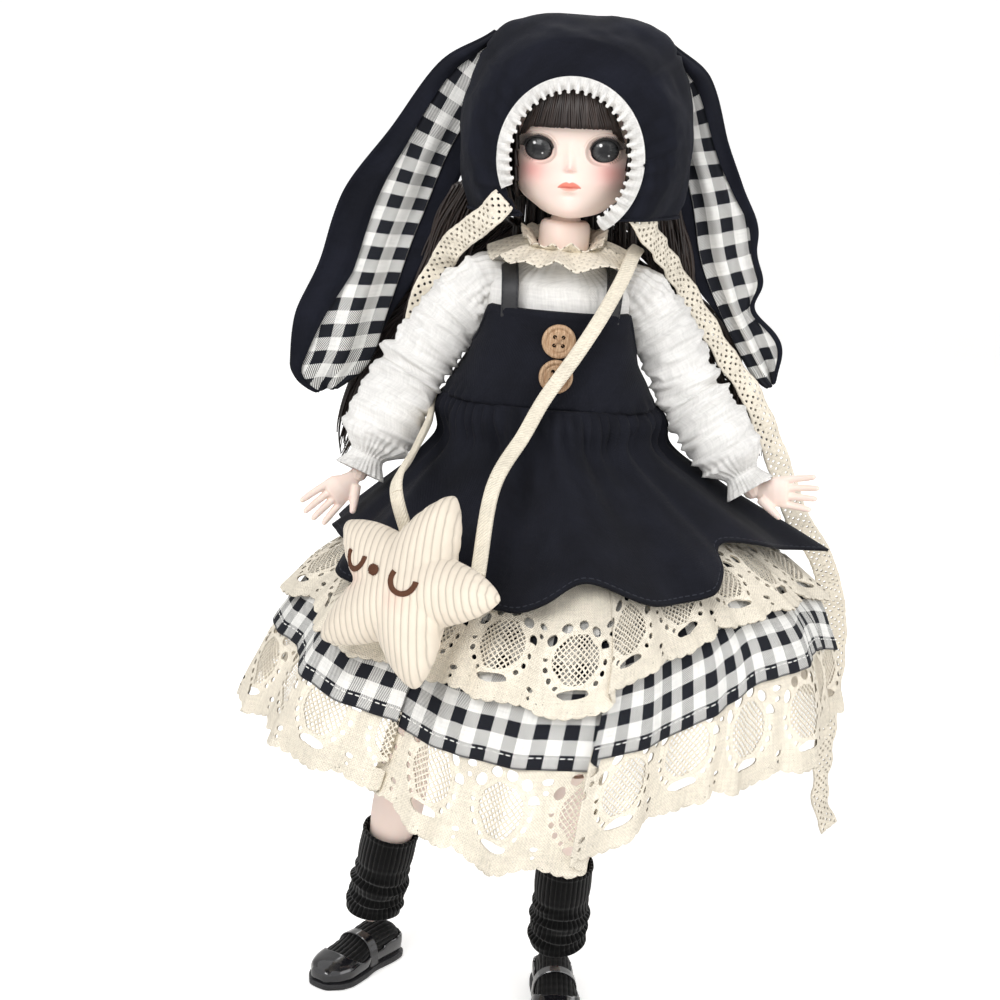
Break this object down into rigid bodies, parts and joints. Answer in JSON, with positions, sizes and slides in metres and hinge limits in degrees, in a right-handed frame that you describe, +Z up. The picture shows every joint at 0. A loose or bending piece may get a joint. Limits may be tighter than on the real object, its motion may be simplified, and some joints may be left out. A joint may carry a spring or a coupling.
{
  "type": "ball jointed doll",
  "caption": "Ball jointed doll in a long eared bonnet, pinafore, layered skirts, socks and strapped shoes, with a star bag; posable at neck, waist and limbs.",
  "frame": {"origin": "on the floor under the middle of the dressed doll's box", "axes": "+Z up, the doll faces -Y and its left side is +X"},
  "size_m": [0.2048, 0.1752, 0.312],
  "materials": {
    "vinyl": "smooth satin, pale cream pink",
    "joint_plastic": "smooth, harder than the skin",
    "hair_fibre": "long dark brown fibre, soft shine",
    "glass_eye": "clear and wet looking, grey iris",
    "black_cotton": "matt black twill with a navy cast",
    "gingham": "black, grey and white woven checks",
    "cream_lace": "cream cotton lace",
    "white_cotton": "fine off-white cotton",
    "black_leather": "black grained leather",
    "wood": "turned wood, bare",
    "corduroy": "cream ribbed cloth",
    "cotton_webbing": "cream woven tape",
    "patent_leather": "black, high gloss",
    "ribbed_knit": "black ribbed knit"
  },
  "bodies": {
    "pelvis": {"pelvis": "vinyl", "underskirt": "gingham", "lace_tier": "cream_lace", "overskirt": "black_cotton"},
    "waist_ball": {"waist_ball": "joint_plastic"},
    "chest": {"chest": "vinyl", "blouse": "white_cotton", "collar": "cream_lace", "dress_bib": "black_cotton", "shoulder_straps": "black_leather", "button_upper": "wood", "button_lower": "wood", "bag_strap": "cotton_webbing"},
    "neck_ball": {"neck_ball": "joint_plastic"},
    "head": {"head": "vinyl", "head_cap": "vinyl", "eye_right": "glass_eye", "eye_left": "glass_eye", "wig": "hair_fibre", "hair_right": "hair_fibre", "hair_left": "hair_fibre", "bonnet": "black_cotton", "bonnet_ruffle": "white_cotton", "bonnet_ear_right": "black_cotton", "bonnet_ear_left": "black_cotton", "bonnet_tie_right": "cream_lace", "bonnet_tie_left": "cream_lace"},
    "star_bag": {"star_bag": "corduroy"},
    "shoulder_joint_right": {"shoulder_joint_right": "joint_plastic"},
    "upper_arm_right": {"upper_arm_right": "vinyl", "sleeve_upper_right": "white_cotton"},
    "elbow_joint_right": {"elbow_joint_right": "joint_plastic"},
    "forearm_right": {"forearm_right": "vinyl", "sleeve_lower_right": "white_cotton"},
    "wrist_ball_right": {"wrist_ball_right": "joint_plastic"},
    "hand_right": {"hand_right": "vinyl"},
    "hip_joint_right": {"hip_joint_right": "joint_plastic"},
    "thigh_right": {"thigh_right": "vinyl"},
    "knee_joint_right": {"knee_joint_right": "joint_plastic"},
    "shin_right": {"shin_right": "vinyl", "sock_right": "ribbed_knit"},
    "ankle_ball_right": {"ankle_ball_right": "joint_plastic"},
    "foot_right": {"foot_right": "vinyl", "shoe_right": "patent_leather"},
    "shoulder_joint_left": {"shoulder_joint_left": "joint_plastic"},
    "upper_arm_left": {"upper_arm_left": "vinyl", "sleeve_upper_left": "white_cotton"},
    "elbow_joint_left": {"elbow_joint_left": "joint_plastic"},
    "forearm_left": {"forearm_left": "vinyl", "sleeve_lower_left": "white_cotton"},
    "wrist_ball_left": {"wrist_ball_left": "joint_plastic"},
    "hand_left": {"hand_left": "vinyl"},
    "hip_joint_left": {"hip_joint_left": "joint_plastic"},
    "thigh_left": {"thigh_left": "vinyl"},
    "knee_joint_left": {"knee_joint_left": "joint_plastic"},
    "shin_left": {"shin_left": "vinyl", "sock_left": "ribbed_knit"},
    "ankle_ball_left": {"ankle_ball_left": "joint_plastic"},
    "foot_left": {"foot_left": "vinyl", "shoe_left": "patent_leather"}
  },
  "joints": [
    {"name": "waist_bend", "type": "hinge", "parent": "pelvis", "child": "waist_ball", "pos_m": [-0.01256, 0.00235, 0.189], "axis": [1, 0, 0], "range_deg": [-8, 15], "deforming": ["overskirt", "bag_strap"]},
    {"name": "waist_turn", "type": "hinge", "parent": "waist_ball", "child": "chest", "pos_m": [-0.01256, 0.00235, 0.189], "axis": [0, 0, 1], "range_deg": [-15, 15]},
    {"name": "head_nod", "type": "hinge", "parent": "chest", "child": "neck_ball", "pos_m": [-0.01256, 0.00235, 0.251], "axis": [1, 0, 0], "range_deg": [-10, 10]},
    {"name": "head_turn", "type": "hinge", "parent": "neck_ball", "child": "head", "pos_m": [-0.01256, 0.00235, 0.251], "axis": [0.0349, 0, 0.9994], "range_deg": [-40, 40], "deforming": ["hair_right", "hair_left", "bonnet_ear_right", "bonnet_ear_left", "bonnet_tie_right", "bonnet_tie_left"]},
    {"name": "shoulder_swing_right", "type": "hinge", "parent": "chest", "child": "shoulder_joint_right", "pos_m": [-0.03957, 0.00435, 0.2295], "axis": [-1, 0, 0], "range_deg": [-15, 75]},
    {"name": "shoulder_lift_right", "type": "hinge", "parent": "shoulder_joint_right", "child": "upper_arm_right", "pos_m": [-0.03957, 0.00435, 0.2295], "axis": [0, -1, 0], "range_deg": [-50, 4], "deforming": ["sleeve_upper_right"]},
    {"name": "elbow_swivel_right", "type": "hinge", "parent": "upper_arm_right", "child": "elbow_joint_right", "pos_m": [-0.05676, 0.00013, 0.20225], "axis": [-0.5291, -0.1298, -0.8386], "range_deg": [-45, 45]},
    {"name": "elbow_bend_right", "type": "hinge", "parent": "elbow_joint_right", "child": "forearm_right", "pos_m": [-0.05676, 0.00013, 0.20225], "axis": [-0.8457, 0, 0.5336], "range_deg": [-5, 70], "deforming": ["sleeve_lower_right"]},
    {"name": "wrist_swivel_right", "type": "hinge", "parent": "forearm_right", "child": "wrist_ball_right", "pos_m": [-0.06863, -0.00811, 0.17258], "axis": [-0.3596, -0.2497, -0.8991], "range_deg": [-45, 45]},
    {"name": "wrist_bend_right", "type": "hinge", "parent": "wrist_ball_right", "child": "hand_right", "pos_m": [-0.06863, -0.00811, 0.17258], "axis": [-0.2579, 0.9526, -0.1615], "range_deg": [-20, 40]},
    {"name": "shoulder_swing_left", "type": "hinge", "parent": "chest", "child": "shoulder_joint_left", "pos_m": [0.01443, 0.00435, 0.2295], "axis": [-1, 0, 0], "range_deg": [-15, 75]},
    {"name": "shoulder_lift_left", "type": "hinge", "parent": "shoulder_joint_left", "child": "upper_arm_left", "pos_m": [0.01443, 0.00435, 0.2295], "axis": [0, 1, 0], "range_deg": [-50, 8], "deforming": ["sleeve_upper_left"]},
    {"name": "elbow_swivel_left", "type": "hinge", "parent": "upper_arm_left", "child": "elbow_joint_left", "pos_m": [0.03201, 0.00012, 0.20249], "axis": [0.5407, -0.1302, -0.8311], "range_deg": [-45, 45]},
    {"name": "elbow_bend_left", "type": "hinge", "parent": "elbow_joint_left", "child": "forearm_left", "pos_m": [0.03201, 0.00012, 0.20249], "axis": [-0.8382, 0, -0.5453], "range_deg": [-5, 70], "deforming": ["sleeve_lower_left"]},
    {"name": "wrist_swivel_left", "type": "hinge", "parent": "forearm_left", "child": "wrist_ball_left", "pos_m": [0.05053, -0.00782, 0.17636], "axis": [0.5613, -0.2406, -0.7919], "range_deg": [-45, 45]},
    {"name": "wrist_bend_left", "type": "hinge", "parent": "wrist_ball_left", "child": "hand_left", "pos_m": [0.05053, -0.00782, 0.17636], "axis": [-0.2774, -0.9562, 0.0938], "range_deg": [-60, 10]},
    {"name": "hip_swing_right", "type": "hinge", "parent": "pelvis", "child": "hip_joint_right", "pos_m": [-0.02806, 0.00235, 0.16], "axis": [-1, 0, 0], "range_deg": [-20, 32]},
    {"name": "hip_spread_right", "type": "hinge", "parent": "hip_joint_right", "child": "thigh_right", "pos_m": [-0.02806, 0.00235, 0.16], "axis": [0, 1, 0], "range_deg": [-4, 25]},
    {"name": "thigh_swivel_right", "type": "hinge", "parent": "thigh_right", "child": "knee_joint_right", "pos_m": [-0.04601, 0.00323, 0.08976], "axis": [-0.2475, 0.0121, -0.9688], "range_deg": [-30, 30]},
    {"name": "knee_bend_right", "type": "hinge", "parent": "knee_joint_right", "child": "shin_right", "pos_m": [-0.04601, 0.00323, 0.08976], "axis": [0.7911, -0.5748, -0.2093], "range_deg": [-10, 68]},
    {"name": "ankle_swivel_right", "type": "hinge", "parent": "shin_right", "child": "ankle_ball_right", "pos_m": [-0.05557, 0.01585, 0.019], "axis": [-0.1317, 0.1741, -0.9759], "range_deg": [-25, 25]},
    {"name": "ankle_tilt_right", "type": "hinge", "parent": "ankle_ball_right", "child": "foot_right", "pos_m": [-0.05557, 0.01585, 0.019], "axis": [0.809, -0.5878, 0], "range_deg": [-20, 20], "deforming": ["sock_right"]},
    {"name": "hip_swing_left", "type": "hinge", "parent": "pelvis", "child": "hip_joint_left", "pos_m": [0.00294, 0.00235, 0.16], "axis": [-1, 0, 0], "range_deg": [-20, 28]},
    {"name": "hip_spread_left", "type": "hinge", "parent": "hip_joint_left", "child": "thigh_left", "pos_m": [0.00294, 0.00235, 0.16], "axis": [0, -1, 0], "range_deg": [-4, 25]},
    {"name": "thigh_swivel_left", "type": "hinge", "parent": "thigh_left", "child": "knee_joint_left", "pos_m": [0.00477, -0.01536, 0.08971], "axis": [0.0253, -0.2442, -0.9694], "range_deg": [-30, 30]},
    {"name": "knee_bend_left", "type": "hinge", "parent": "knee_joint_left", "child": "shin_left", "pos_m": [0.00477, -0.01536, 0.08971], "axis": [0.9992, 0.0349, 0.0173], "range_deg": [-22, 52]},
    {"name": "ankle_swivel_left", "type": "hinge", "parent": "shin_left", "child": "ankle_ball_left", "pos_m": [0.00543, 0.00065, 0.019], "axis": [0.0092, 0.2208, -0.9753], "range_deg": [-25, 25]},
    {"name": "ankle_tilt_left", "type": "hinge", "parent": "ankle_ball_left", "child": "foot_left", "pos_m": [0.00543, 0.00065, 0.019], "axis": [0.9994, 0.0349, 0], "range_deg": [-20, 20], "deforming": ["sock_left"]},
    {"name": "bag_swing", "type": "hinge", "parent": "pelvis", "child": "star_bag", "pos_m": [-0.05106, -0.05765, 0.1785], "axis": [-1, 0, 0], "range_deg": [0, 30]}
  ]
}
